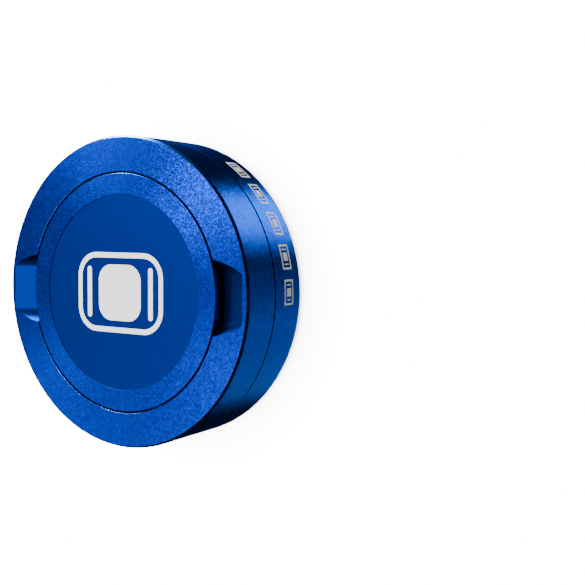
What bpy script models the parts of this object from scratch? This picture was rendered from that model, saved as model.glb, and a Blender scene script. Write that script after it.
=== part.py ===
"""Round aluminium pouch can: a turned base, a lift-off lid with a mirror underneath,
and a small waste compartment in the lid under its own flush cap.

Metres, +Z up. The closed can stands on z = 0 with its axis on Z; the two finger
notches of the lid lie at +X and -X.
"""
import math

import bmesh
import bpy
from mathutils import Matrix, Vector

# ---- driving dimensions -----------------------------------------------------------

OUTER_RADIUS = 0.0350            # base and lid share one outside diameter, 70 mm
BASE_WALL_HEIGHT = 0.0120        # from the table to the shoulder that the lid meets
SEAM_GAP = 0.0003                # between the shoulder and the lid's mouth
EDGE_CHAMFER = 0.0003            # broken edges of every turned piece
CURVE_STEPS = 5                  # points along each rounded edge
TURN_STEPS = 72                  # facets around every turned piece

# base
BASE_FLOOR = 0.0012
BASE_BOTTOM_ROUND = 0.0030       # rounded lower edge
BASE_INNER_ROUND = 0.0015        # where the inside wall meets the floor
NECK_WALL = 0.0013
NECK_RIM_CLEARANCE = 0.0012      # over the neck's rim, under the lid's land

# neck seal
SEAL_ABOVE_SHOULDER = 0.0025
SEAL_HEIGHT = 0.0022
SEAL_THICKNESS = 0.00065
SEAL_PROUD = 0.00025             # how far the band stands out of the neck
GROOVE_GAP = 0.00025             # around a seal in its groove

# lid
LID_SKIRT = 0.0012
LID_RUNNING_GAP = 0.0006         # radial, between the skirt and the neck
LID_TOP_CHAMFER = 0.0006
CHANNEL_WIDTH = 0.0037           # from the neck's inside to the lid's boss
COVE_RADIUS = 0.0024             # hollow curve between the skirt's bore and the land
BOSS_WALL = 0.0027               # around the waste compartment
BOSS_SETBACK = 0.0024            # from the lid's mouth up to the boss's face
WELL_FLOOR = 0.0008              # metal between the waste compartment and the mirror
NOTCH_WEB = 0.0007               # metal left between a finger notch and the channel

# compartment cap
CAP_SEAT_WIDTH = 0.0016          # ledge that carries the cap
CAP_SIDE_GAP = 0.00045
CAP_SEAT_GAP = 0.0003
CAP_EDGE_HEIGHT = 0.0026
CAP_WEB = 0.0010
CAP_BORDER = 0.00465             # plain border around the cap's sunken middle
CAP_MIDDLE_DEPTH = 0.00012
PLUG_HEIGHT = 0.0020
PLUG_WALL = 0.0014
PLUG_SIDE_GAP = 0.0006
PLUG_FLOOR_GAP = 0.00065         # under the plug, to the compartment's floor
CAP_SEAL_HEIGHT = 0.0006
CAP_SEAL_THICKNESS = 0.0007
CAP_SEAL_PROUD = 0.0003

# mirror
MIRROR_BORDER = 0.0049           # width of the boss's face around the mirror recess
MIRROR_SIDE_GAP = 0.0003
MIRROR_THICKNESS = 0.0008
MIRROR_SETBACK = 0.0001
ADHESIVE_THICKNESS = 0.00025
ADHESIVE_MARGIN = 0.0010         # the tape disc is smaller than the mirror by this
BOND_GAP = 0.0002                # above and below the tape

# finger notches
NOTCH_FLAT_WIDTH = 0.0103        # across the flat floor
NOTCH_RIM = 0.0016               # metal left outside a notch
NOTCH_ABOVE_SEAT = 0.0003        # the notch stops this far above the cap's lower edge
NOTCH_END_RADIUS = 0.0060        # hollow ends of the notch
NOTCH_END_START = math.radians(22)
NOTCH_END_STOP = math.radians(68)

# ---- sizes that follow ------------------------------------------------------------

# radii, from the outside in
BORE_RADIUS = OUTER_RADIUS - LID_SKIRT
NECK_RADIUS = BORE_RADIUS - LID_RUNNING_GAP
NECK_BORE = NECK_RADIUS - NECK_WALL
BOSS_RADIUS = NECK_BORE - CHANNEL_WIDTH
WELL_RADIUS = BOSS_RADIUS - BOSS_WALL
RECESS_RADIUS = WELL_RADIUS + CAP_SEAT_WIDTH
CAP_RADIUS = RECESS_RADIUS - CAP_SIDE_GAP
PLUG_RADIUS = WELL_RADIUS - PLUG_SIDE_GAP
MIRROR_RECESS_RADIUS = BOSS_RADIUS - MIRROR_BORDER
MIRROR_RADIUS = MIRROR_RECESS_RADIUS - MIRROR_SIDE_GAP
SEAL_OUTER = NECK_RADIUS + SEAL_PROUD
SEAL_INNER = SEAL_OUTER - SEAL_THICKNESS
CAP_SEAL_OUTER = PLUG_RADIUS + CAP_SEAL_PROUD
CAP_SEAL_INNER = CAP_SEAL_OUTER - CAP_SEAL_THICKNESS

# depths below the lid's top face
SEAT_DEPTH = CAP_EDGE_HEIGHT + CAP_SEAT_GAP
WELL_BOTTOM = CAP_EDGE_HEIGHT + PLUG_HEIGHT + PLUG_FLOOR_GAP
MIRROR_RECESS_TOP = WELL_BOTTOM + WELL_FLOOR
ADHESIVE_TOP = MIRROR_RECESS_TOP + BOND_GAP
MIRROR_TOP = ADHESIVE_TOP + ADHESIVE_THICKNESS + BOND_GAP
MIRROR_FACE = MIRROR_TOP + MIRROR_THICKNESS
BOSS_FACE = MIRROR_FACE + MIRROR_SETBACK
LID_HEIGHT = BOSS_FACE + BOSS_SETBACK
NOTCH_DEPTH = CAP_EDGE_HEIGHT - NOTCH_ABOVE_SEAT
NOTCH_CHORD = OUTER_RADIUS - NOTCH_RIM
NOTCH_SLOPE = NOTCH_DEPTH / (NOTCH_CHORD - RECESS_RADIUS)
LAND_THICKNESS = NOTCH_SLOPE * (NOTCH_CHORD - BOSS_RADIUS) + NOTCH_WEB

# heights above the table
LID_MOUTH = BASE_WALL_HEIGHT + SEAM_GAP
TOP = LID_MOUTH + LID_HEIGHT
NECK_TOP = TOP - LAND_THICKNESS - NECK_RIM_CLEARANCE
SEAL_BOTTOM = BASE_WALL_HEIGHT + SEAL_ABOVE_SHOULDER
SEAL_TOP = SEAL_BOTTOM + SEAL_HEIGHT
PLUG_BOTTOM = TOP - CAP_EDGE_HEIGHT - PLUG_HEIGHT
CAP_SEAL_BOTTOM = PLUG_BOTTOM + (PLUG_HEIGHT - CAP_SEAL_HEIGHT) / 2


# ---- tools ------------------------------------------------------------------------

def clear_objects():
    for old in list(bpy.data.objects):
        bpy.data.objects.remove(old, do_unlink=True)


def new_collection(name):
    collection = bpy.data.collections.new(name)
    bpy.context.scene.collection.children.link(collection)
    return collection


def finish_material(name, colour, roughness, metallic=0.0, transmission=0.0):
    material = bpy.data.materials.new(name)
    material.use_nodes = True
    shader = material.node_tree.nodes["Principled BSDF"]
    shader.inputs["Base Color"].default_value = (*colour, 1.0)
    shader.inputs["Roughness"].default_value = roughness
    shader.inputs["Metallic"].default_value = metallic
    shader.inputs["Transmission Weight"].default_value = transmission
    return material


def arc(centre_radius, centre_height, radius, start_degrees, stop_degrees):
    """Points of a profile along a circular arc, both ends included."""
    points = []
    for step in range(CURVE_STEPS + 1):
        angle = math.radians(start_degrees + (stop_degrees - start_degrees) * step / CURVE_STEPS)
        points.append((centre_radius + radius * math.cos(angle),
                       centre_height + radius * math.sin(angle)))
    return points


def turned(name, profile, material, closed=False):
    """Turn a profile of (radius, height) points about Z.

    The profile runs down its outer side; a closed one is a ring's section.
    """
    mesh = bpy.data.meshes.new(name)
    edges = [(i, i + 1) for i in range(len(profile) - 1)]
    if closed:
        edges.append((len(profile) - 1, 0))
    mesh.from_pydata([(radius, 0.0, height) for radius, height in profile], edges, [])
    obj = bpy.data.objects.new(name, mesh)
    CAN.objects.link(obj)
    mesh.materials.append(material)
    screw = obj.modifiers.new("Turn", "SCREW")
    screw.axis = "Z"
    screw.steps = TURN_STEPS
    screw.render_steps = TURN_STEPS
    screw.use_smooth_shade = True
    screw.use_merge_vertices = True
    screw.merge_threshold = 0.00001
    return obj


def cut(target, cutter):
    cutter.hide_render = True
    cutter.display_type = "WIRE"
    boolean = target.modifiers.new("Cut " + cutter.name, "BOOLEAN")
    boolean.operation = "DIFFERENCE"
    boolean.solver = "EXACT"
    boolean.object = cutter


# ---- pieces -----------------------------------------------------------------------

def build_base(material):
    """Cup turned from solid: floor, wall, shoulder and a thinner neck with a groove."""
    inner_corner = NECK_BORE - BASE_INNER_ROUND
    bottom_corner = OUTER_RADIUS - BASE_BOTTOM_ROUND
    groove_floor = SEAL_INNER - GROOVE_GAP
    profile = [(0.0, BASE_FLOOR)]
    profile += arc(inner_corner, BASE_FLOOR + BASE_INNER_ROUND, BASE_INNER_ROUND, -90, 0)
    profile += [
        (NECK_BORE, NECK_TOP - EDGE_CHAMFER),
        (NECK_BORE + EDGE_CHAMFER, NECK_TOP),
        (NECK_RADIUS - EDGE_CHAMFER, NECK_TOP),
        (NECK_RADIUS, NECK_TOP - EDGE_CHAMFER),
        (NECK_RADIUS, SEAL_TOP + GROOVE_GAP),
        (groove_floor, SEAL_TOP + GROOVE_GAP),
        (groove_floor, SEAL_BOTTOM - GROOVE_GAP),
        (NECK_RADIUS, SEAL_BOTTOM - GROOVE_GAP),
        (NECK_RADIUS, BASE_WALL_HEIGHT),
        (OUTER_RADIUS - EDGE_CHAMFER, BASE_WALL_HEIGHT),
        (OUTER_RADIUS, BASE_WALL_HEIGHT - EDGE_CHAMFER),
    ]
    profile += arc(bottom_corner, BASE_BOTTOM_ROUND, BASE_BOTTOM_ROUND, 0, -90)
    profile.append((0.0, 0.0))
    return turned("base_can", profile, material)


def build_neck_seal(material):
    """Soft band in the neck's groove, a little proud of the metal."""
    edge = EDGE_CHAMFER / 2
    profile = [
        (SEAL_INNER, SEAL_TOP),
        (SEAL_OUTER - edge, SEAL_TOP),
        (SEAL_OUTER, SEAL_TOP - edge),
        (SEAL_OUTER, SEAL_BOTTOM + edge),
        (SEAL_OUTER - edge, SEAL_BOTTOM),
        (SEAL_INNER, SEAL_BOTTOM),
    ]
    return turned("neck_seal", profile, material, closed=True)


def notch_cutter(name, side):
    """A bar with hollow ends, tilted so that its floor rises to the face at the rim."""
    half_flat = NOTCH_FLAT_WIDTH / 2
    outline = []
    for step in range(CURVE_STEPS + 1):
        angle = NOTCH_END_START + (NOTCH_END_STOP - NOTCH_END_START) * step / CURVE_STEPS
        outline.append((half_flat + NOTCH_END_RADIUS * (math.sin(angle) - math.sin(NOTCH_END_START)),
                        NOTCH_END_RADIUS * (math.cos(NOTCH_END_START) - math.cos(angle))))
    outline += [(-across, up) for across, up in reversed(outline)]

    # The bar starts over the cap's ledge, whose inner edge it must not reach.
    start, stop = WELL_RADIUS, OUTER_RADIUS
    tilt = math.atan(NOTCH_SLOPE)
    mesh = bpy.data.meshes.new(name)
    shape = bmesh.new()
    ring = [shape.verts.new((start, across, up)) for across, up in outline]
    face = shape.faces.new(ring)
    extruded = bmesh.ops.extrude_face_region(shape, geom=[face])
    moved = [item for item in extruded["geom"] if isinstance(item, bmesh.types.BMVert)]
    bmesh.ops.translate(shape, verts=moved, vec=(stop - start, 0.0, 0.0))
    chord = Vector((NOTCH_CHORD, 0.0, 0.0))
    lean = Matrix.Rotation(-tilt, 4, "Y")
    bmesh.ops.rotate(shape, verts=shape.verts, cent=chord, matrix=lean)
    bmesh.ops.translate(shape, verts=shape.verts, vec=(0.0, 0.0, TOP))
    if side < 0:
        bmesh.ops.rotate(shape, verts=shape.verts, cent=(0.0, 0.0, 0.0),
                         matrix=Matrix.Rotation(math.pi, 4, "Z"))
    bmesh.ops.recalc_face_normals(shape, faces=shape.faces)
    shape.to_mesh(mesh)
    shape.free()
    cutter = bpy.data.objects.new(name, mesh)
    CUTTERS.objects.link(cutter)
    return cutter


def build_lid(material):
    """Upper shell: skirt, top land with a sunk seat for the cap, and the boss inside
    that holds the waste compartment above and the mirror below."""
    land = TOP - LAND_THICKNESS
    boss_face = TOP - BOSS_FACE
    profile = [
        (0.0, TOP - WELL_BOTTOM),
        (WELL_RADIUS, TOP - WELL_BOTTOM),
        (WELL_RADIUS, TOP - SEAT_DEPTH),
        (RECESS_RADIUS, TOP - SEAT_DEPTH),
        (RECESS_RADIUS, TOP - EDGE_CHAMFER / 2),
        (RECESS_RADIUS + EDGE_CHAMFER / 2, TOP),
        (OUTER_RADIUS - LID_TOP_CHAMFER, TOP),
        (OUTER_RADIUS, TOP - LID_TOP_CHAMFER),
        (OUTER_RADIUS, LID_MOUTH + EDGE_CHAMFER),
        (OUTER_RADIUS - EDGE_CHAMFER, LID_MOUTH),
        (BORE_RADIUS + EDGE_CHAMFER, LID_MOUTH),
        (BORE_RADIUS, LID_MOUTH + EDGE_CHAMFER),
    ]
    profile += arc(BORE_RADIUS - COVE_RADIUS, land - COVE_RADIUS, COVE_RADIUS, 0, 90)
    profile += [
        (BOSS_RADIUS, land),
        (BOSS_RADIUS, boss_face + EDGE_CHAMFER),
        (BOSS_RADIUS - EDGE_CHAMFER, boss_face),
        (MIRROR_RECESS_RADIUS, boss_face),
        (MIRROR_RECESS_RADIUS, TOP - MIRROR_RECESS_TOP),
        (0.0, TOP - MIRROR_RECESS_TOP),
    ]
    lid = turned("lid_shell", profile, material)
    for name, side in (("notch_right", 1), ("notch_left", -1)):
        cut(lid, notch_cutter(name, side))
    return lid


def build_mirror(material):
    """Round glass mirror with a ground edge, silvered behind."""
    face = TOP - MIRROR_FACE
    back = TOP - MIRROR_TOP
    edge = EDGE_CHAMFER / 2
    profile = [
        (0.0, back),
        (MIRROR_RADIUS, back),
        (MIRROR_RADIUS, face + edge),
        (MIRROR_RADIUS - edge, face),
        (0.0, face),
    ]
    return turned("mirror", profile, material)


def build_adhesive(material):
    """Double-sided tape disc that holds the mirror in its recess."""
    radius = MIRROR_RADIUS - ADHESIVE_MARGIN
    upper = TOP - ADHESIVE_TOP
    lower = upper - ADHESIVE_THICKNESS
    profile = [(0.0, upper), (radius, upper), (radius, lower), (0.0, lower)]
    return turned("mirror_adhesive", profile, material)


def build_cap(material):
    """Flush cap: a web inside a thick edge, and a plug ring with a groove below it."""
    edge_bottom = TOP - CAP_EDGE_HEIGHT
    middle = CAP_RADIUS - CAP_BORDER
    groove_floor = CAP_SEAL_INNER - GROOVE_GAP
    groove_bottom = CAP_SEAL_BOTTOM - GROOVE_GAP
    groove_top = CAP_SEAL_BOTTOM + CAP_SEAL_HEIGHT + GROOVE_GAP
    profile = [
        (0.0, TOP - CAP_MIDDLE_DEPTH),
        (middle - CAP_MIDDLE_DEPTH, TOP - CAP_MIDDLE_DEPTH),
        (middle, TOP),
        (CAP_RADIUS - EDGE_CHAMFER, TOP),
        (CAP_RADIUS, TOP - EDGE_CHAMFER),
        (CAP_RADIUS, edge_bottom),
        (PLUG_RADIUS, edge_bottom),
        (PLUG_RADIUS, groove_top),
        (groove_floor, groove_top),
        (groove_floor, groove_bottom),
        (PLUG_RADIUS, groove_bottom),
        (PLUG_RADIUS, PLUG_BOTTOM),
        (PLUG_RADIUS - PLUG_WALL, PLUG_BOTTOM),
        (PLUG_RADIUS - PLUG_WALL, TOP - CAP_WEB),
        (0.0, TOP - CAP_WEB),
    ]
    return turned("compartment_cap", profile, material)


def build_cap_seal(material):
    """Ring in the plug's groove that holds the cap shut by friction."""
    top = CAP_SEAL_BOTTOM + CAP_SEAL_HEIGHT
    edge = CAP_SEAL_HEIGHT / 4
    profile = [
        (CAP_SEAL_INNER, top),
        (CAP_SEAL_OUTER - edge, top),
        (CAP_SEAL_OUTER, top - edge),
        (CAP_SEAL_OUTER, CAP_SEAL_BOTTOM + edge),
        (CAP_SEAL_OUTER - edge, CAP_SEAL_BOTTOM),
        (CAP_SEAL_INNER, CAP_SEAL_BOTTOM),
    ]
    return turned("cap_seal", profile, material, closed=True)


clear_objects()
CAN = new_collection("pouch_can")
CUTTERS = new_collection("cutters")

anodised = finish_material("blue_anodised", (0.006, 0.075, 0.42), 0.42, metallic=0.9)
anodised_matte = finish_material("blue_anodised_matte", (0.005, 0.060, 0.33), 0.55, metallic=0.8)
silicone = finish_material("clear_silicone", (0.62, 0.68, 0.80), 0.38, transmission=0.4)
silvered = finish_material("mirror_glass", (0.93, 0.94, 0.95), 0.02, metallic=1.0)
tape = finish_material("white_tape", (0.82, 0.82, 0.80), 0.7)

build_base(anodised)
build_neck_seal(silicone)
build_lid(anodised)
build_mirror(silvered)
build_adhesive(tape)
build_cap(anodised_matte)
build_cap_seal(silicone)
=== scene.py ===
import math

import bpy
from mathutils import Matrix, Vector


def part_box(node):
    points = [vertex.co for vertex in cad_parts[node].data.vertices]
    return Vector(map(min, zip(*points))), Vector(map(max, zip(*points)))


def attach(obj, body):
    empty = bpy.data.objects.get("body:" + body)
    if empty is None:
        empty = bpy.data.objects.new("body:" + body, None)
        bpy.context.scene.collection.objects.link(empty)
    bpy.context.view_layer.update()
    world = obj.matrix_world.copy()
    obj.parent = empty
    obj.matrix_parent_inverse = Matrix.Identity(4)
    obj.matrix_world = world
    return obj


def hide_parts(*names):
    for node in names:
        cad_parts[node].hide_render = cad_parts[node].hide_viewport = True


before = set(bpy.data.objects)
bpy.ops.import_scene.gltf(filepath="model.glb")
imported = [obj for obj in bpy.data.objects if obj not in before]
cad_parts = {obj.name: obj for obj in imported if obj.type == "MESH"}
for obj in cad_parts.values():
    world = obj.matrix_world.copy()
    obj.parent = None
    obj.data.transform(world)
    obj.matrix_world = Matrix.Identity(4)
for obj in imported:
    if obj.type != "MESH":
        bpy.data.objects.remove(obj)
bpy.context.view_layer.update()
bpy.ops.object.select_all(action="DESELECT")

# ---- Base ---------------------------------------------------------------------------
# A cup turned from a solid aluminium bar: thin floor, wall, a shoulder that the lid
# meets, and a thinner neck with a groove. It is bead-blasted, then anodised blue.

TURN_FACETS = 256            # facets around every turned piece
MM = 0.001
WALL_RADIUS = 34.98 * MM     # a print's thickness inside the can's 35 mm


def turn(name, corners, ring=False):
    """Turn a section of (radius, height) corners, ring by ring, from one end to the other."""
    bpy.ops.object.select_all(action="DESELECT")
    radius, height = corners[0]
    bpy.ops.mesh.primitive_circle_add(vertices=TURN_FACETS, radius=radius,
                                      location=(0, 0, height), fill_type="NOTHING")
    piece = bpy.context.object
    piece.name = piece.data.name = name
    bpy.ops.object.mode_set(mode="EDIT")
    bpy.ops.mesh.select_all(action="SELECT")
    for next_radius, next_height in corners[1:]:
        bpy.ops.mesh.extrude_edges_move(
            TRANSFORM_OT_translate={"value": (0, 0, next_height - height)})
        spread = next_radius / radius
        bpy.ops.transform.resize(value=(spread, spread, 1))
        radius, height = next_radius, next_height
    bpy.ops.mesh.select_all(action="SELECT")
    if ring:
        bpy.ops.mesh.select_non_manifold(extend=False)
        bpy.ops.mesh.bridge_edge_loops()
    else:
        bpy.ops.mesh.fill_holes(sides=0)
    bpy.ops.mesh.select_all(action="SELECT")
    bpy.ops.mesh.normals_make_consistent(inside=False)
    bpy.ops.object.mode_set(mode="OBJECT")
    bpy.ops.object.transform_apply(location=True, rotation=True, scale=True)
    return piece


def is_ring_edge(mesh, edge, radius, height):
    ends = [mesh.vertices[i].co for i in edge.vertices]
    return all(abs(end.xy.length - radius) < 0.01 * MM and abs(end.z - height) < 0.01 * MM
               for end in ends)


def round_rings(piece, rings, width, steps):
    """Bevel the circular edges that lie at the given (radius, height) places."""
    bpy.ops.object.select_all(action="DESELECT")
    piece.select_set(True)
    bpy.context.view_layer.objects.active = piece
    bpy.ops.object.mode_set(mode="EDIT")
    bpy.ops.mesh.select_mode(type="EDGE")
    bpy.ops.mesh.select_all(action="DESELECT")
    bpy.ops.object.mode_set(mode="OBJECT")
    for edge in piece.data.edges:
        edge.select = any(is_ring_edge(piece.data, edge, *ring) for ring in rings)
    bpy.ops.object.mode_set(mode="EDIT")
    bpy.ops.mesh.bevel(offset=width, segments=steps, affect="EDGES", profile=0.5)
    bpy.ops.object.mode_set(mode="OBJECT")


def finish_mesh(piece):
    """Smooth the rounds, keep cut edges crisp and the flats flat."""
    bpy.ops.object.select_all(action="DESELECT")
    piece.select_set(True)
    bpy.context.view_layer.objects.active = piece
    bpy.ops.object.shade_smooth_by_angle(angle=math.radians(20))
    weighted = piece.modifiers.new("flats", "WEIGHTED_NORMAL")
    weighted.mode = "FACE_AREA"
    weighted.weight = 100
    weighted.keep_sharp = True
    bpy.ops.object.modifier_apply(modifier=weighted.name)


def new_group(name, inputs, outputs):
    """An empty node group, with its named sockets and its two end nodes."""
    group = bpy.data.node_groups.new(name, "ShaderNodeTree")
    for direction, labels in (("INPUT", inputs), ("OUTPUT", outputs)):
        for label in labels:
            kind = "NodeSocketVector" if label in ("Vector", "Normal") else "NodeSocketFloat"
            group.interface.new_socket(label, in_out=direction, socket_type=kind)
    return group, group.nodes.new("NodeGroupInput"), group.nodes.new("NodeGroupOutput")


def maths(tree, operation, first, second):
    """A maths node; each operand is a number or another node's output."""
    node = tree.nodes.new("ShaderNodeMath")
    node.operation = operation
    for socket, operand in zip(node.inputs, (first, second)):
        if isinstance(operand, (int, float)):
            socket.default_value = operand
        else:
            tree.links.new(operand, socket)
    return node.outputs["Value"]


def scaled(tree, operation, vector, other):
    """A vector maths node on a vector and either a number or a second vector."""
    node = tree.nodes.new("ShaderNodeVectorMath")
    node.operation = operation
    tree.links.new(vector, node.inputs[0])
    if operation == "SCALE":
        tree.links.new(other, node.inputs["Scale"])
    elif isinstance(other, tuple):
        node.inputs[1].default_value = other
    elif other is not None:
        tree.links.new(other, node.inputs[1])
    return node.outputs["Vector"]


def grain_group():
    """Blasted grain: fine pits, tilted facets that glint, a random Glints value per facet
    that the blue metals paint into their colour as glints, and slow clouds of tone and
    roughness.
    """
    group, inlet, outlet = new_group(
        "blasted_grain", ("Vector", "Grain Size", "Depth", "Tilt"),
        ("Normal", "Glints", "Cloud"))
    links = group.links
    pitch = maths(group, "DIVIDE", 1.0, inlet.outputs["Grain Size"])
    pits = group.nodes.new("ShaderNodeTexNoise")
    pits.inputs["Detail"].default_value = 2.0
    links.new(inlet.outputs["Vector"], pits.inputs["Vector"])
    links.new(pitch, pits.inputs["Scale"])
    bump = group.nodes.new("ShaderNodeBump")
    links.new(pits.outputs["Fac"], bump.inputs["Height"])
    links.new(inlet.outputs["Depth"], bump.inputs["Distance"])
    facets = group.nodes.new("ShaderNodeTexVoronoi")
    links.new(inlet.outputs["Vector"], facets.inputs["Vector"])
    links.new(pitch, facets.inputs["Scale"])
    lean = scaled(group, "SUBTRACT", facets.outputs["Color"], (0.5, 0.5, 0.5))
    lean = scaled(group, "SCALE", lean, inlet.outputs["Tilt"])
    tilted = scaled(group, "ADD", bump.outputs["Normal"], lean)
    links.new(scaled(group, "NORMALIZE", tilted, None), outlet.inputs["Normal"])
    parts = group.nodes.new("ShaderNodeSeparateColor")
    links.new(facets.outputs["Color"], parts.inputs["Color"])
    links.new(maths(group, "POWER", parts.outputs["Red"], 2.0), outlet.inputs["Glints"])
    cloud = group.nodes.new("ShaderNodeTexNoise")
    cloud.inputs["Scale"].default_value = 90.0
    cloud.inputs["Detail"].default_value = 3.0
    links.new(inlet.outputs["Vector"], cloud.inputs["Vector"])
    links.new(cloud.outputs["Fac"], outlet.inputs["Cloud"])
    return group


def lines_group():
    """Lathe lines: fine ridges that run around the axis, uneven in width and height."""
    group, inlet, outlet = new_group("turning_lines", ("Vector", "Line Pitch"), ("Height",))
    place = group.nodes.new("ShaderNodeSeparateXYZ")
    group.links.new(inlet.outputs["Vector"], place.inputs["Vector"])
    squares = [maths(group, "POWER", place.outputs[axis], 2.0) for axis in ("X", "Y")]
    radius = maths(group, "SQRT", maths(group, "ADD", *squares), 0.0)
    along = maths(group, "ADD", radius, place.outputs["Z"])
    ridges = group.nodes.new("ShaderNodeTexNoise")
    ridges.noise_dimensions = "1D"
    ridges.inputs["Scale"].default_value = 1.0
    ridges.inputs["Detail"].default_value = 2.0
    group.links.new(maths(group, "DIVIDE", along, inlet.outputs["Line Pitch"]),
                    ridges.inputs["W"])
    group.links.new(ridges.outputs["Fac"], outlet.inputs["Height"])
    return group


def specks_group():
    """Dust and pinholes: small round spots, one in some of the cells they could be in."""
    group, inlet, outlet = new_group("dust_specks", ("Vector", "Spacing", "Size"), ("Mask",))
    cells = group.nodes.new("ShaderNodeTexVoronoi")
    group.links.new(inlet.outputs["Vector"], cells.inputs["Vector"])
    group.links.new(maths(group, "DIVIDE", 1.0, inlet.outputs["Spacing"]),
                    cells.inputs["Scale"])
    parts = group.nodes.new("ShaderNodeSeparateColor")
    group.links.new(cells.outputs["Color"], parts.inputs["Color"])
    reach = maths(group, "DIVIDE", inlet.outputs["Size"], inlet.outputs["Spacing"])
    reach = maths(group, "MULTIPLY", reach, parts.outputs["Green"])
    spot = maths(group, "LESS_THAN", cells.outputs["Distance"], reach)
    chosen = maths(group, "GREATER_THAN", parts.outputs["Red"], 0.55)
    group.links.new(maths(group, "MULTIPLY", spot, chosen), outlet.inputs["Mask"])
    return group


GRAIN = grain_group()
LINES = lines_group()
SPECKS = specks_group()


def add_group(material, group, values, vector):
    """Place a shared effect in a material, with this material's own values."""
    node = material.node_tree.nodes.new("ShaderNodeGroup")
    node.node_tree = group
    for label, value in values.items():
        node.inputs[label].default_value = value
    material.node_tree.links.new(vector, node.inputs["Vector"])
    return node


def mixed(material, factor, first, second):
    """Mix two colours; each is a colour or another node's output."""
    mix = material.node_tree.nodes.new("ShaderNodeMix")
    mix.data_type = "RGBA"
    material.node_tree.links.new(factor, mix.inputs["Factor"])
    for socket, colour in ((mix.inputs["A"], first), (mix.inputs["B"], second)):
        if isinstance(colour, tuple):
            socket.default_value = (*colour, 1)
        else:
            material.node_tree.links.new(colour, socket)
    return mix.outputs["Result"]


def spread(material, value, low, high):
    """Spread a 0 to 1 value over a range."""
    node = material.node_tree.nodes.new("ShaderNodeMapRange")
    node.inputs["To Min"].default_value = low
    node.inputs["To Max"].default_value = high
    material.node_tree.links.new(value, node.inputs["Value"])
    return node.outputs["Result"]


def new_material(name):
    """A material, its shader, and the object coordinates that its effects use."""
    material = bpy.data.materials.new(name)
    material.use_nodes = True
    place = material.node_tree.nodes.new("ShaderNodeTexCoord")
    return material, material.node_tree.nodes["Principled BSDF"], place.outputs["Object"]


def anodised(name, dark, light, roughness, grain, swirl, line_depth):
    """Blue-dyed oxide on a metal, its colour lightened facet by facet from dark to light as
    painted glints: grain as (size, depth, tilt), and lathe lines.
    """
    material, shader, place = new_material(name)
    links = material.node_tree.links
    size, depth, tilt = grain
    shader.inputs["Metallic"].default_value = 1.0
    shader.inputs["Anisotropic"].default_value = swirl
    shader.inputs["Anisotropic Rotation"].default_value = 0.25    # spread across the groove
    shader.inputs["Specular Tint"].default_value = (0.35, 0.68, 1.0, 1)
    shader.inputs["Coat Weight"].default_value = 0.01
    shader.inputs["Coat Roughness"].default_value = 0.3
    blast = add_group(material, GRAIN,
                      {"Grain Size": size, "Depth": depth, "Tilt": tilt}, place)
    dust = add_group(material, SPECKS, {"Spacing": 0.0045, "Size": 0.0002}, place)
    turned = add_group(material, LINES, {"Line Pitch": 0.00025}, place)
    # Painted glints: each facet's Glints value lightens the dye from dark to light, partly
    # random tone and partly painted sparkle.
    dye_with_painted_glints = mixed(material, blast.outputs["Glints"], dark, light)
    dye_with_painted_glints = mixed(material, dust.outputs["Mask"], dye_with_painted_glints, (0.0, 0.001, 0.01))
    links.new(dye_with_painted_glints, shader.inputs["Base Color"])
    links.new(spread(material, blast.outputs["Cloud"], roughness - 0.02, roughness + 0.02),
              shader.inputs["Roughness"])
    ridges = material.node_tree.nodes.new("ShaderNodeBump")
    ridges.inputs["Distance"].default_value = line_depth
    links.new(turned.outputs["Height"], ridges.inputs["Height"])
    links.new(blast.outputs["Normal"], ridges.inputs["Normal"])
    links.new(ridges.outputs["Normal"], shader.inputs["Normal"])
    lathe = material.node_tree.nodes.new("ShaderNodeTangent")
    lathe.direction_type = "RADIAL"
    lathe.axis = "Z"
    links.new(lathe.outputs["Tangent"], shader.inputs["Tangent"])
    return material


def give(piece, material, chosen):
    """Give a piece one more material, on the faces that the test picks."""
    piece.data.materials.append(material)
    for polygon in piece.data.polygons:
        if chosen(polygon.center.xy.length, polygon.center.z, polygon.normal):
            polygon.material_index = len(piece.data.materials) - 1


blasted_blue = anodised("blasted_blue", (0.0, 0.011, 0.17), (0.0, 0.030, 0.38), 0.33,
                        (0.00020, 0.000010, 0.10), 0.66, 0.0000015)
# The edge faces get a much lighter blue than the blasted metal: a painted highlight along
# rims and chamfers, on top of their real smoother burnished finish.
painted_highlight_edge_blue = anodised("burnished_edge_painted_highlight", (0.01, 0.08, 0.42), (0.03, 0.14, 0.60), 0.26,
                     (0.00030, 0.000004, 0.04), 0.20, 0.0)
bore_blue = anodised("lathe_cut_blue", (0.0, 0.010, 0.15), (0.0, 0.016, 0.22), 0.30,
                     (0.00025, 0.000004, 0.05), 0.80, 0.000010)

SHOULDER = 12.0 * MM
NECK_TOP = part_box("base_can")[1].z
NECK_RADIUS = 33.2 * MM
NECK_BORE = 31.9 * MM
GROOVE = (14.25 * MM, 16.95 * MM, 32.55 * MM)   # bottom, top and floor radius
FLOOR_TOP = 1.2 * MM
FLOOR_DISC = 30.0 * MM       # the flat middle of the cup's floor
FOOT_DISC = 31.0 * MM        # the flat disc that the can stands on

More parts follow.
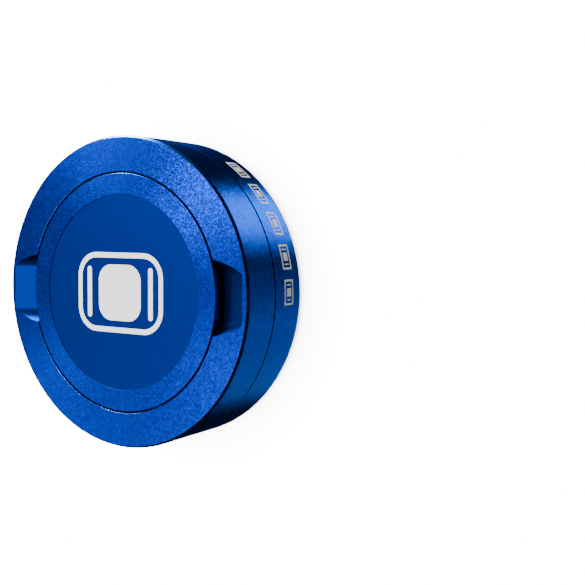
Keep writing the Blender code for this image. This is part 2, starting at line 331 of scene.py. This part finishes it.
base = turn("base", [
    (FLOOR_DISC, FLOOR_TOP),
    (NECK_BORE, FLOOR_TOP),
    (NECK_BORE, NECK_TOP),
    (NECK_RADIUS, NECK_TOP),
    (NECK_RADIUS, GROOVE[1]),
    (GROOVE[2], GROOVE[1]),
    (GROOVE[2], GROOVE[0]),
    (NECK_RADIUS, GROOVE[0]),
    (NECK_RADIUS, SHOULDER),
    (WALL_RADIUS, SHOULDER),
    (WALL_RADIUS, 0.0),
    (FOOT_DISC, 0.0),
])
round_rings(base, [(NECK_BORE, FLOOR_TOP)], 1.5 * MM, 6)
round_rings(base, [(NECK_BORE, NECK_TOP), (NECK_RADIUS, NECK_TOP)], 0.25 * MM, 5)
round_rings(base, [(NECK_RADIUS, GROOVE[0]), (NECK_RADIUS, GROOVE[1])], 0.08 * MM, 5)
round_rings(base, [(WALL_RADIUS, SHOULDER)], 0.22 * MM, 5)
round_rings(base, [(WALL_RADIUS, 0.0)], 3.0 * MM, 12)
finish_mesh(base)
base.data.materials.append(blasted_blue)
give(base, bore_blue, lambda radius, height, normal: radius < NECK_BORE + 0.01 * MM
     and height > FLOOR_TOP / 2)
# Painted highlight: the shoulder's round gets the lighter edge blue.
give(base, painted_highlight_edge_blue, lambda radius, height, normal: abs(height - SHOULDER) < 0.3 * MM
     and radius > WALL_RADIUS - 0.3 * MM and 0.05 < normal.z < 0.95)
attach(base, "base")
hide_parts("base_can")

# ---- Neck seal ----------------------------------------------------------------------
# A milky silicone band, moulded flat and stretched into the neck's groove. It stands a
# little proud of the metal and grips the lid's bore.

SEAL_LOW, SEAL_HIGH = (corner.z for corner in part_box("neck_seal"))
SEAL_OUTER = 33.45 * MM
SEAL_INNER = 32.8 * MM

neck_seal = turn("neck_band_seal", [
    (SEAL_INNER, SEAL_LOW),
    (SEAL_OUTER, SEAL_LOW),
    (SEAL_OUTER, SEAL_HIGH),
    (SEAL_INNER, SEAL_HIGH),
], ring=True)
round_rings(neck_seal, [(SEAL_OUTER, SEAL_LOW), (SEAL_OUTER, SEAL_HIGH)], 0.2 * MM, 5)
finish_mesh(neck_seal)

silicone, shader, place = new_material("milky_silicone")
shader.inputs["Transmission Weight"].default_value = 0.25
shader.inputs["Subsurface Weight"].default_value = 0.3
shader.inputs["Subsurface Scale"].default_value = 0.001
skin = add_group(silicone, GRAIN,
                 {"Grain Size": 0.0004, "Depth": 0.000006, "Tilt": 0.01}, place)
lint = add_group(silicone, SPECKS, {"Spacing": 0.0025, "Size": 0.00016}, place)
milk = mixed(silicone, skin.outputs["Cloud"], (0.50, 0.57, 0.76), (0.70, 0.76, 0.90))
silicone.node_tree.links.new(mixed(silicone, lint.outputs["Mask"], milk, (0.30, 0.31, 0.34)),
                             shader.inputs["Base Color"])
silicone.node_tree.links.new(spread(silicone, skin.outputs["Cloud"], 0.28, 0.46),
                             shader.inputs["Roughness"])
silicone.node_tree.links.new(skin.outputs["Normal"], shader.inputs["Normal"])
neck_seal.data.materials.append(silicone)
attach(neck_seal, "neck_band")
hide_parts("neck_seal")

# ---- Lid ----------------------------------------------------------------------------
# The upper shell, turned from both sides: a seat and a waste compartment above, a skirt,
# a hollow channel and a boss for the mirror below. Two finger notches are milled in.

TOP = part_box("lid_shell")[1].z
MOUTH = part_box("lid_shell")[0].z
SEAT = TOP - 2.9 * MM
WELL_FLOOR = TOP - 5.25 * MM
LAND = TOP - 2.6 * MM
BOSS_FACE = TOP - 7.6 * MM
MIRROR_SEAT = TOP - 6.05 * MM
RECESS_RADIUS = 27.1 * MM
WELL_RADIUS = 25.5 * MM
BORE_RADIUS = 33.8 * MM
BOSS_RADIUS = 28.2 * MM
MIRROR_BORE = 23.3 * MM
WELL_DISC = 24.0 * MM        # the flat middle of the compartment's floor
MIRROR_DISC = 22.0 * MM      # the flat middle of the mirror's seat
RIM_CHAMFER = 0.5 * MM

lid = turn("lid", [
    (WELL_DISC, WELL_FLOOR),
    (WELL_RADIUS, WELL_FLOOR),
    (WELL_RADIUS, SEAT),
    (RECESS_RADIUS, SEAT),
    (RECESS_RADIUS, TOP),
    (WALL_RADIUS, TOP),
    (WALL_RADIUS, MOUTH),
    (BORE_RADIUS, MOUTH),
    (BORE_RADIUS, LAND),
    (BOSS_RADIUS, LAND),
    (BOSS_RADIUS, BOSS_FACE),
    (MIRROR_BORE, BOSS_FACE),
    (MIRROR_BORE, MIRROR_SEAT),
    (MIRROR_DISC, MIRROR_SEAT),
])
round_rings(lid, [(WELL_RADIUS, WELL_FLOOR)], 0.4 * MM, 5)
round_rings(lid, [(BORE_RADIUS, LAND)], 2.4 * MM, 16)
round_rings(lid, [(WALL_RADIUS, TOP)], RIM_CHAMFER, 1)
round_rings(lid, [(WALL_RADIUS - RIM_CHAMFER, TOP), (WALL_RADIUS, TOP - RIM_CHAMFER)],
            0.08 * MM, 3)
round_rings(lid, [(WALL_RADIUS, MOUTH), (BORE_RADIUS, MOUTH)], 0.22 * MM, 5)
round_rings(lid, [(BOSS_RADIUS, BOSS_FACE), (WELL_RADIUS, SEAT)], 0.2 * MM, 5)
round_rings(lid, [(RECESS_RADIUS, TOP), (MIRROR_BORE, BOSS_FACE)], 0.1 * MM, 5)

NOTCH_HALF_FLAT = 5.15 * MM
NOTCH_CHORD = 33.4 * MM
NOTCH_DEPTH = 2.3 * MM
NOTCH_END_RADIUS = 6.0 * MM
NOTCH_END_START = 22         # degrees of slope where the hollow end begins
NOTCH_END_SWEEP = 44         # degrees that it turns through
NOTCH_END_STEPS = 12
NOTCH_LENGTH = 10.0 * MM
NOTCH_OVERRUN = 2.4 * MM     # how far the cutter passes the rim
NOTCH_CUT_HEIGHT = 5.0 * MM


def select_end_face(piece, direction):
    """Select the outermost face that looks one way, and no edge or corner besides its own."""
    bpy.ops.mesh.select_all(action="DESELECT")
    bpy.ops.object.mode_set(mode="OBJECT")
    facing = [polygon for polygon in piece.data.polygons
              if polygon.normal.dot(direction) > 0.3]
    outermost = max(polygon.center.dot(direction) for polygon in facing)
    for polygon in facing:
        polygon.select = polygon.center.dot(direction) > outermost - 0.01 * MM
    bpy.ops.object.mode_set(mode="EDIT")


def notch_tool(side):
    """The milling cut: a flat floor with hollow ends, leaning up to the chord at the rim."""
    bpy.ops.object.select_all(action="DESELECT")
    bpy.ops.mesh.primitive_cube_add(size=1)
    tool = bpy.context.object
    tool.name = "notch_tool"
    bpy.ops.object.mode_set(mode="EDIT")
    bpy.ops.transform.resize(value=(NOTCH_LENGTH, 2 * NOTCH_HALF_FLAT, NOTCH_CUT_HEIGHT))
    bpy.ops.transform.translate(
        value=(-NOTCH_LENGTH / 2 + NOTCH_OVERRUN, 0, NOTCH_CUT_HEIGHT / 2))
    bpy.ops.mesh.select_mode(type="FACE")
    for across in (1, -1):
        select_end_face(tool, Vector((0, across, 0)))
        for step in range(NOTCH_END_STEPS):
            angles = [math.radians(NOTCH_END_START + NOTCH_END_SWEEP * (step + end)
                                   / NOTCH_END_STEPS) for end in (0, 1)]
            out = NOTCH_END_RADIUS * (math.sin(angles[1]) - math.sin(angles[0]))
            rise = NOTCH_END_RADIUS * (math.cos(angles[0]) - math.cos(angles[1]))
            bpy.ops.mesh.extrude_region_move(
                TRANSFORM_OT_translate={"value": (0, across * out, rise)})
    bpy.ops.object.mode_set(mode="OBJECT")
    tilt = math.atan(NOTCH_DEPTH / (NOTCH_CHORD - RECESS_RADIUS))
    tool.rotation_euler = (0, -tilt, 0)
    tool.location = (NOTCH_CHORD, 0, TOP)
    bpy.ops.object.transform_apply(location=True, rotation=True, scale=True)
    if side < 0:
        tool.rotation_euler = (0, 0, math.pi)
        bpy.ops.object.transform_apply(location=False, rotation=True, scale=False)
    return tool


for side in (1, -1):
    tool = notch_tool(side)
    bpy.ops.object.select_all(action="DESELECT")
    lid.select_set(True)
    bpy.context.view_layer.objects.active = lid
    milled = lid.modifiers.new("milled notch", "BOOLEAN")
    milled.operation = "DIFFERENCE"
    milled.solver = "EXACT"
    milled.object = tool
    bpy.ops.object.modifier_apply(modifier=milled.name)
    bpy.data.objects.remove(tool)
finish_mesh(lid)
milled_blue = anodised("milled_blue", (0.0, 0.010, 0.110), (0.0, 0.014, 0.145), 0.36,
                       (0.00018, 0.000006, 0.05), 0.0, 0.0)
lid.data.materials.append(blasted_blue)
give(lid, bore_blue, lambda radius, height, normal: BOSS_RADIUS - 0.01 * MM < radius
     < BORE_RADIUS + 0.01 * MM and height < TOP - 0.5 * MM and normal.z < 0.1)
give(lid, milled_blue, lambda radius, height, normal: RECESS_RADIUS - 0.3 * MM < radius
     and TOP - 2.7 * MM < height < TOP - 0.01 * MM and 0.3 < normal.z < 0.995
     and radius < WALL_RADIUS - 0.55 * MM)
# Painted highlight: the rim chamfer, the mouth's rounds and the recess edge get the lighter
# edge blue.
give(lid, painted_highlight_edge_blue, lambda radius, height, normal: radius > WALL_RADIUS - 0.55 * MM
     and (height > TOP - 0.55 * MM or height < MOUTH + 0.3 * MM)
     and 0.05 < abs(normal.z) < 0.98)
give(lid, painted_highlight_edge_blue, lambda radius, height, normal: abs(radius - RECESS_RADIUS) < 0.12 * MM
     and height > TOP - 0.12 * MM and 0.05 < normal.z < 0.98)
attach(lid, "lid")
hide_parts("lid_shell")

# ---- Mirror -------------------------------------------------------------------------
# A disc of float glass, cut round, silvered behind and ground on its edge. It sits in
# the boss's recess, a hair below the metal around it.

MIRROR_FACE, MIRROR_BACK = (corner.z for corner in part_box("mirror"))
MIRROR_RADIUS = 23.0 * MM
MIRROR_FLAT = 21.0 * MM

mirror = turn("mirror_disc", [
    (MIRROR_FLAT, MIRROR_BACK),
    (MIRROR_RADIUS, MIRROR_BACK),
    (MIRROR_RADIUS, MIRROR_FACE),
    (MIRROR_FLAT, MIRROR_FACE),
])
round_rings(mirror, [(MIRROR_RADIUS, MIRROR_FACE)], 0.22 * MM, 2)
finish_mesh(mirror)
silvered, shader, place = new_material("silvered_glass")
shader.inputs["Metallic"].default_value = 1.0
haze = add_group(silvered, GRAIN, {"Grain Size": 0.003, "Depth": 0.0, "Tilt": 0.0}, place)
dust = add_group(silvered, SPECKS, {"Spacing": 0.004, "Size": 0.0002}, place)
silvered.node_tree.links.new(
    mixed(silvered, dust.outputs["Mask"], (0.93, 0.94, 0.95), (0.55, 0.55, 0.55)),
    shader.inputs["Base Color"])
silvered.node_tree.links.new(spread(silvered, haze.outputs["Cloud"], 0.0, 0.035),
                             shader.inputs["Roughness"])
mirror.data.materials.append(silvered)

ground, shader, place = new_material("ground_glass")
shader.inputs["IOR"].default_value = 1.52
wheel = add_group(ground, GRAIN, {"Grain Size": 0.0001, "Depth": 0.00001, "Tilt": 0.1}, place)
ground.node_tree.links.new(
    mixed(ground, wheel.outputs["Glints"], (0.62, 0.68, 0.66), (0.92, 0.97, 0.95)),
    shader.inputs["Base Color"])
ground.node_tree.links.new(spread(ground, wheel.outputs["Cloud"], 0.18, 0.34),
                           shader.inputs["Roughness"])
ground.node_tree.links.new(wheel.outputs["Normal"], shader.inputs["Normal"])
give(mirror, ground, lambda radius, height, normal: radius > MIRROR_RADIUS - 0.25 * MM
     and normal.z > -0.98 and normal.z < 0.98)
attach(mirror, "lid")
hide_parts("mirror")

# ---- Mirror tape --------------------------------------------------------------------
# A die-cut disc of white double-sided foam tape between the mirror and the boss.

TAPE_LOW, TAPE_HIGH = (corner.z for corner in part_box("mirror_adhesive"))
TAPE_RADIUS = 22.0 * MM
TAPE_FLAT = 20.0 * MM

tape = turn("mirror_tape", [
    (TAPE_FLAT, TAPE_HIGH),
    (TAPE_RADIUS, TAPE_HIGH),
    (TAPE_RADIUS, TAPE_LOW),
    (TAPE_FLAT, TAPE_LOW),
])
finish_mesh(tape)
foam, shader, place = new_material("white_foam_tape")
cells = add_group(foam, GRAIN, {"Grain Size": 0.0003, "Depth": 0.00008, "Tilt": 0.05}, place)
foam.node_tree.links.new(
    mixed(foam, cells.outputs["Cloud"], (0.70, 0.69, 0.64), (0.86, 0.86, 0.84)),
    shader.inputs["Base Color"])
foam.node_tree.links.new(spread(foam, cells.outputs["Glints"], 0.7, 0.9),
                         shader.inputs["Roughness"])
foam.node_tree.links.new(cells.outputs["Normal"], shader.inputs["Normal"])
tape.data.materials.append(foam)
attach(tape, "lid")
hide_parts("mirror_adhesive")

# ---- Compartment cap ----------------------------------------------------------------
# A turned aluminium cap that lies flush in the lid: a thick edge, a web sunk a little in
# the middle, and a plug ring below with a groove for its seal.

CAP_RADIUS = 26.65 * MM
CAP_FOOT = TOP - 2.6 * MM
MIDDLE_RADIUS = 22.0 * MM
MIDDLE_DROP = 0.12 * MM
PLUG_RADIUS = 24.9 * MM
PLUG_INNER = 23.5 * MM
PLUG_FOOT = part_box("compartment_cap")[0].z
CAP_GROOVE = (18.15 * MM, 19.25 * MM, 24.25 * MM)
WEB_UNDERSIDE = TOP - 1.0 * MM
WEB_DISC = 22.0 * MM         # the flat middle of the web's underside

cap = turn("cap", [
    (MIDDLE_RADIUS - MIDDLE_DROP, TOP - MIDDLE_DROP),
    (MIDDLE_RADIUS, TOP),
    (CAP_RADIUS, TOP),
    (CAP_RADIUS, CAP_FOOT),
    (PLUG_RADIUS, CAP_FOOT),
    (PLUG_RADIUS, CAP_GROOVE[1]),
    (CAP_GROOVE[2], CAP_GROOVE[1]),
    (CAP_GROOVE[2], CAP_GROOVE[0]),
    (PLUG_RADIUS, CAP_GROOVE[0]),
    (PLUG_RADIUS, PLUG_FOOT),
    (PLUG_INNER, PLUG_FOOT),
    (PLUG_INNER, WEB_UNDERSIDE),
    (WEB_DISC, WEB_UNDERSIDE),
])
round_rings(cap, [(CAP_RADIUS, TOP)], 0.18 * MM, 5)
round_rings(cap, [(CAP_RADIUS, CAP_FOOT)], 0.15 * MM, 5)
round_rings(cap, [(PLUG_RADIUS, PLUG_FOOT), (PLUG_INNER, PLUG_FOOT)], 0.15 * MM, 5)
round_rings(cap, [(PLUG_INNER, WEB_UNDERSIDE)], 0.4 * MM, 5)
finish_mesh(cap)
fine_blue = anodised("fine_blasted_blue", (0.0, 0.0072, 0.090), (0.0, 0.0095, 0.112), 0.48,
                     (0.00018, 0.000006, 0.04), 0.0, 0.0)
cap.data.materials.append(blasted_blue)
give(cap, fine_blue, lambda radius, height, normal: radius < MIDDLE_RADIUS
     and height > TOP - 0.3 * MM and normal.z > 0.5)
# Painted highlight: the cap's rounded top edge gets the lighter edge blue.
give(cap, painted_highlight_edge_blue, lambda radius, height, normal: radius > CAP_RADIUS - 0.2 * MM
     and height > TOP - 0.2 * MM and 0.05 < normal.z < 0.98)
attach(cap, "cap")
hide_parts("compartment_cap")

# ---- Cap seal -----------------------------------------------------------------------
# A thin silicone ring in the plug's groove. Its rounded outside rubs on the bore.

CAP_SEAL_LOW, CAP_SEAL_HIGH = (corner.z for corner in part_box("cap_seal"))
CAP_SEAL_OUTER = 25.2 * MM
CAP_SEAL_INNER = 24.5 * MM

cap_seal = turn("cap_ring_seal", [
    (CAP_SEAL_INNER, CAP_SEAL_LOW),
    (CAP_SEAL_OUTER, CAP_SEAL_LOW),
    (CAP_SEAL_OUTER, CAP_SEAL_HIGH),
    (CAP_SEAL_INNER, CAP_SEAL_HIGH),
], ring=True)
round_rings(cap_seal, [(CAP_SEAL_OUTER, CAP_SEAL_LOW), (CAP_SEAL_OUTER, CAP_SEAL_HIGH)],
            0.22 * MM, 5)
finish_mesh(cap_seal)
cap_seal.data.materials.append(silicone)
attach(cap_seal, "cap_ring")
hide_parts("cap_seal")

# ---- Printed marks ------------------------------------------------------------------
# White pad-printed ink, cured hard: a picture of a pouch on the cap's sunk middle, and a
# row of small ones around the base's wall. They are plain pictograms with no lettering.

INK = 0.016 * MM
INK_GAP = 0.002 * MM
POUCH = [                        # x, y, width, height, corner, line (0 is solid)
    (0.0, 0.0, 25.0, 18.0, 5.5, 1.2),
    (0.0, 0.0, 12.4, 12.6, 3.6, 0.0),
    (-9.0, 0.0, 1.3, 11.6, 0.6, 0.0),
    (9.0, 0.0, 1.3, 11.6, 0.6, 0.0),
]


def ink_plate(x, y, width, height, corner, line):
    """One flat patch of ink with round corners; a line width leaves only its outline."""
    bpy.ops.object.select_all(action="DESELECT")
    bpy.ops.mesh.primitive_plane_add(size=1)
    patch = bpy.context.object
    bpy.ops.object.mode_set(mode="EDIT")
    bpy.ops.mesh.select_all(action="SELECT")
    bpy.ops.transform.resize(value=(width * MM, height * MM, 1))
    bpy.ops.mesh.bevel(offset=corner * MM, segments=10, affect="VERTICES")
    bpy.ops.mesh.select_all(action="SELECT")
    if line:
        bpy.ops.mesh.inset(thickness=line * MM)
        bpy.ops.mesh.delete(type="ONLY_FACE")
        bpy.ops.mesh.select_all(action="SELECT")
    bpy.ops.mesh.extrude_region_move(TRANSFORM_OT_translate={"value": (0, 0, INK)})
    bpy.ops.mesh.select_all(action="SELECT")
    bpy.ops.mesh.normals_make_consistent(inside=False)
    bpy.ops.object.mode_set(mode="OBJECT")
    patch.location = (x * MM, y * MM, TOP - MIDDLE_DROP + INK_GAP)
    bpy.ops.object.transform_apply(location=True, rotation=True, scale=True)
    return patch


def wall_patch(start, width, low, height):
    """One patch of ink on the wall: a thin section spun around the can."""
    bpy.ops.object.select_all(action="DESELECT")
    bpy.ops.mesh.primitive_plane_add(size=1, rotation=(math.pi / 2, 0, 0))
    patch = bpy.context.object
    bpy.ops.object.transform_apply(location=True, rotation=True, scale=True)
    bpy.ops.object.mode_set(mode="EDIT")
    bpy.ops.mesh.select_all(action="SELECT")
    bpy.ops.transform.resize(value=(INK, 1, height * MM))
    bpy.ops.transform.translate(value=(WALL_RADIUS + INK_GAP + INK / 2, 0,
                                       (low + height / 2) * MM))
    bpy.ops.mesh.spin(steps=max(2, round(width / 0.4)), angle=width * MM / WALL_RADIUS,
                      center=(0, 0, 0), axis=(0, 0, -1))
    bpy.ops.mesh.select_all(action="SELECT")
    bpy.ops.mesh.normals_make_consistent(inside=False)
    bpy.ops.object.mode_set(mode="OBJECT")
    patch.rotation_euler = (0, 0, start * MM / WALL_RADIUS)
    bpy.ops.object.transform_apply(location=True, rotation=True, scale=True)
    return patch


def joined(name, patches):
    bpy.ops.object.select_all(action="DESELECT")
    for patch in patches:
        patch.select_set(True)
    bpy.context.view_layer.objects.active = patches[0]
    bpy.ops.object.join()
    patches[0].name = patches[0].data.name = name
    return patches[0]


ink, shader, place = new_material("white_ink")
cured = add_group(ink, GRAIN, {"Grain Size": 0.0002, "Depth": 0.000004, "Tilt": 0.03}, place)
ink.node_tree.links.new(
    mixed(ink, cured.outputs["Cloud"], (0.90, 0.92, 0.96), (0.97, 0.98, 1.0)),
    shader.inputs["Base Color"])
ink.node_tree.links.new(spread(ink, cured.outputs["Cloud"], 0.42, 0.58),
                        shader.inputs["Roughness"])
ink.node_tree.links.new(cured.outputs["Normal"], shader.inputs["Normal"])

cap_print = joined("cap_print", [ink_plate(*patch) for patch in POUCH])
cap_print.data.materials.append(ink)
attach(cap_print, "cap")
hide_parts("compartment_cap")

SMALL_POUCH = [                  # start, width, low, height
    (0.0, 5.6, 0.0, 0.45),
    (0.0, 5.6, 3.1, 0.45),
    (0.0, 0.45, 0.45, 2.65),
    (5.15, 0.45, 0.45, 2.65),
    (1.9, 1.8, 0.95, 1.65),
    (1.0, 0.3, 0.95, 1.65),
    (4.3, 0.3, 0.95, 1.65),
]
ROW_START = -2.0
ROW_STEP = 7.8
ROW_LOW = 4.9
wall_print = joined("wall_print", [
    wall_patch(ROW_START + ROW_STEP * number + start, width, ROW_LOW + low, height)
    for number in range(5)
    for start, width, low, height in SMALL_POUCH
])
wall_print.data.materials.append(ink)
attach(wall_print, "base")
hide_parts("base_can")

# ---- Floor, light and camera --------------------------------------------------------
# A plain pale floor under a white backdrop. Softboxes stand all around the can, three of
# them below it, and the floor lets their light through and isn't mirrored in the metal.

bpy.ops.mesh.primitive_plane_add(size=6.0, location=(0, 0, 0))
floor = bpy.context.object
floor.name = "floor"
paper = bpy.data.materials.new("white_paper")
paper.use_nodes = True
shader = paper.node_tree.nodes["Principled BSDF"]
shader.inputs["Base Color"].default_value = (0.9, 0.9, 0.9, 1)
shader.inputs["Roughness"].default_value = 0.9
shader.inputs["Specular IOR Level"].default_value = 0.0
floor.data.materials.append(paper)
floor.visible_glossy = False
floor.visible_shadow = False
floor.visible_diffuse = False

world = bpy.data.worlds.new("studio")
bpy.context.scene.world = world
world.use_nodes = True
backdrop = world.node_tree.nodes["Background"]
backdrop.inputs["Color"].default_value = (1, 1, 1, 1)
seen = world.node_tree.nodes.new("ShaderNodeLightPath")
strength = world.node_tree.nodes.new("ShaderNodeMapRange")
strength.inputs["To Min"].default_value = 0.015    # the room's weak fill
strength.inputs["To Max"].default_value = 16.0     # the white backdrop behind the can
world.node_tree.links.new(seen.outputs["Is Camera Ray"], strength.inputs["Value"])
world.node_tree.links.new(strength.outputs["Result"], backdrop.inputs["Strength"])


LAMP_REACH = 0.6
AIM = Vector((0, 0, 12 * MM))


def softbox(name, around, above, size, power):
    """A square light that faces the can, at these degrees around it and above its waist."""
    data = bpy.data.lights.new(name, "AREA")
    data.shape = "SQUARE"
    data.size = size
    data.energy = power
    lamp = bpy.data.objects.new(name, data)
    bpy.context.scene.collection.objects.link(lamp)
    out = Vector((math.cos(math.radians(around)) * math.cos(math.radians(above)),
                  math.sin(math.radians(around)) * math.cos(math.radians(above)),
                  math.sin(math.radians(above))))
    lamp.location = AIM + LAMP_REACH * out
    lamp.rotation_euler = (-out).to_track_quat("-Z", "Y").to_euler()


softbox("face_fan", 143, 65, 0.12, 3.6)             # the bright fan across the ring
softbox("face_upper_fan", 154, 37, 0.10, 1.45)      # a second, narrower fan beside it
softbox("face_lower_fan", 198, 21, 0.10, 0.55)      # its answer on the far side
softbox("face_right_glow", 231, 64, 0.24, 2.1)      # broad light on the ring's right
softbox("face_lower_glow", 216, 35, 0.30, 0.85)     # broad light on the ring's lower half
softbox("face_disc_light", 225, 75, 0.20, 0.3)      # a lift on the cap's sunk middle
softbox("edge_strip", 126, 4, 0.16, 11.0)           # glints on rims and in the notches
softbox("wall_band", 59, -56, 0.24, 2.6)            # the bright band up the wall
softbox("wall_glow", 302, -55, 0.46, 0.95)          # a dim glow on the wall below it
softbox("wall_fill", 352, -57, 0.30, 0.25)          # faint light between the two

sun = bpy.data.lights.new("floor_light", "SUN")
sun.energy = 60.0
sun.angle = math.radians(80)
floor_light = bpy.data.objects.new("floor_light", sun)
bpy.context.scene.collection.objects.link(floor_light)
lit_by_floor_light = bpy.data.collections.new("lit_by_floor_light")
lit_by_floor_light.objects.link(floor)
floor_light.light_linking.receiver_collection = lit_by_floor_light

lens = bpy.data.cameras.new("camera")
lens.sensor_width = 36.0
lens.lens = 55.4
lens.clip_start = 0.01
camera = bpy.data.objects.new("camera", lens)
bpy.context.scene.collection.objects.link(camera)
camera.location = (0.138, 0.0145, 0.173)
look = Vector((-0.522, -0.070, -0.850))
up = Vector((-0.044, 0.997, -0.055))
right = look.cross(up).normalized()
up = right.cross(look).normalized()
camera.rotation_euler = Matrix((right, up, -look)).transposed().to_euler()
bpy.context.scene.camera = camera
